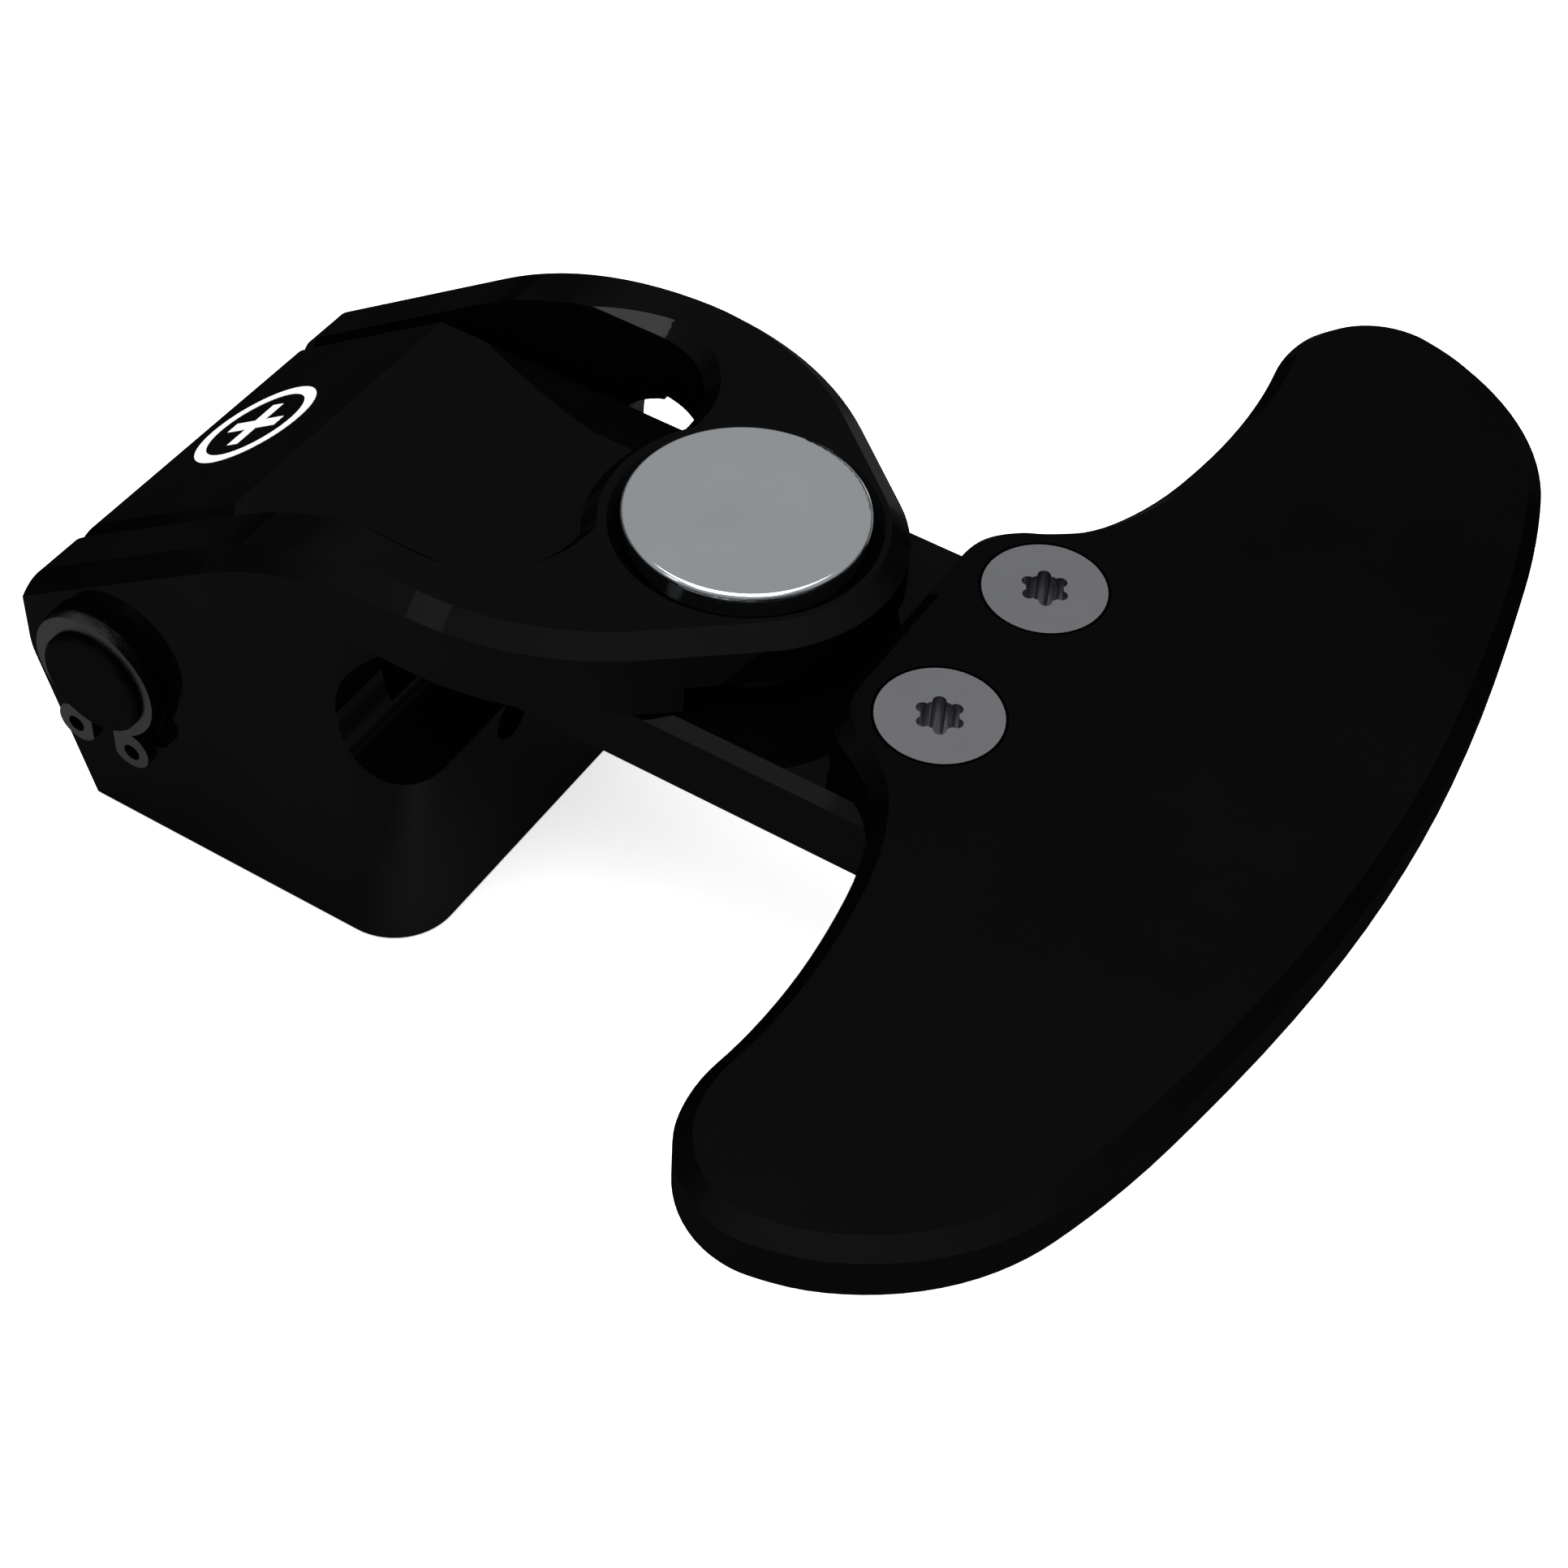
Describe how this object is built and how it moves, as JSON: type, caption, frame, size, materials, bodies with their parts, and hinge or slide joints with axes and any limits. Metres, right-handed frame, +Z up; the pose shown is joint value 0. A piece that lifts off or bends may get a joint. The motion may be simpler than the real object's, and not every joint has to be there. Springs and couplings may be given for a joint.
{
  "type": "magnetic paddle shifter",
  "caption": "Magnetic paddle shifter module: clevis housing with a magnet ring, pivoting lever arm on a cross pin, C-shaped finger blade and a snap switch in the base.",
  "frame": {"origin": "centre of the four mounting holes, on the mounting face", "axes": "+X from the pivot towards the finger blade, +Y along the pivot pin, +Z up out of the mounting face towards the magnet ring"},
  "size_m": [0.0693, 0.0668, 0.0271],
  "materials": {
    "black_anodised": "smooth glossy black anodising on machined aluminium",
    "blade_black": "glossy black coated blade",
    "screw_steel": "satin stainless screw heads",
    "brass": "turned brass",
    "nickel_plate": "bright nickel plate",
    "rubber": "matte black rubber",
    "dark_steel": "black oxide steel",
    "spring_steel": "phosphated spring steel",
    "washer_black": "matte black washer",
    "print_white": "thin white printed mark",
    "bearing_polymer": "dark grey bearing polymer",
    "switch_body": "dark grey moulded plastic",
    "plunger_plastic": "moulded plastic plunger"
  },
  "bodies": {
    "base": {"housing": "black_anodised", "ring_magnet": "nickel_plate", "damper_pad": "rubber", "pivot_pin": "dark_steel", "circlips": "spring_steel", "washer_front": "washer_black", "washer_rear": "washer_black", "shim_front": "bearing_polymer", "shim_rear": "bearing_polymer", "switch_base": "switch_body", "switch_cover": "switch_body", "switch_terminals": "nickel_plate", "clamp_screws": "dark_steel", "stop_strip": "rubber"},
    "lever": {"lever_arm": "black_anodised", "paddle_blade": "blade_black", "blade_screws": "screw_steel", "blade_inserts": "brass", "arm_magnet": "nickel_plate", "bush_front": "bearing_polymer", "bush_rear": "bearing_polymer"},
    "plunger": {"switch_plunger": "plunger_plastic"}
  },
  "joints": [
    {"name": "lever_pivot", "type": "hinge", "parent": "base", "child": "lever", "pos_m": [-0.00845, 0, 0.01102], "axis": [0, 1, 0], "range_deg": [0, 4]},
    {"name": "plunger_press", "type": "slide", "parent": "base", "child": "plunger", "axis": [0, 0, -1], "range_m": [0, 0.001]}
  ],
  "couplings": [
    {"joint": "plunger_press", "follows": "lever_pivot", "m_per_rad": 0.0095}
  ]
}
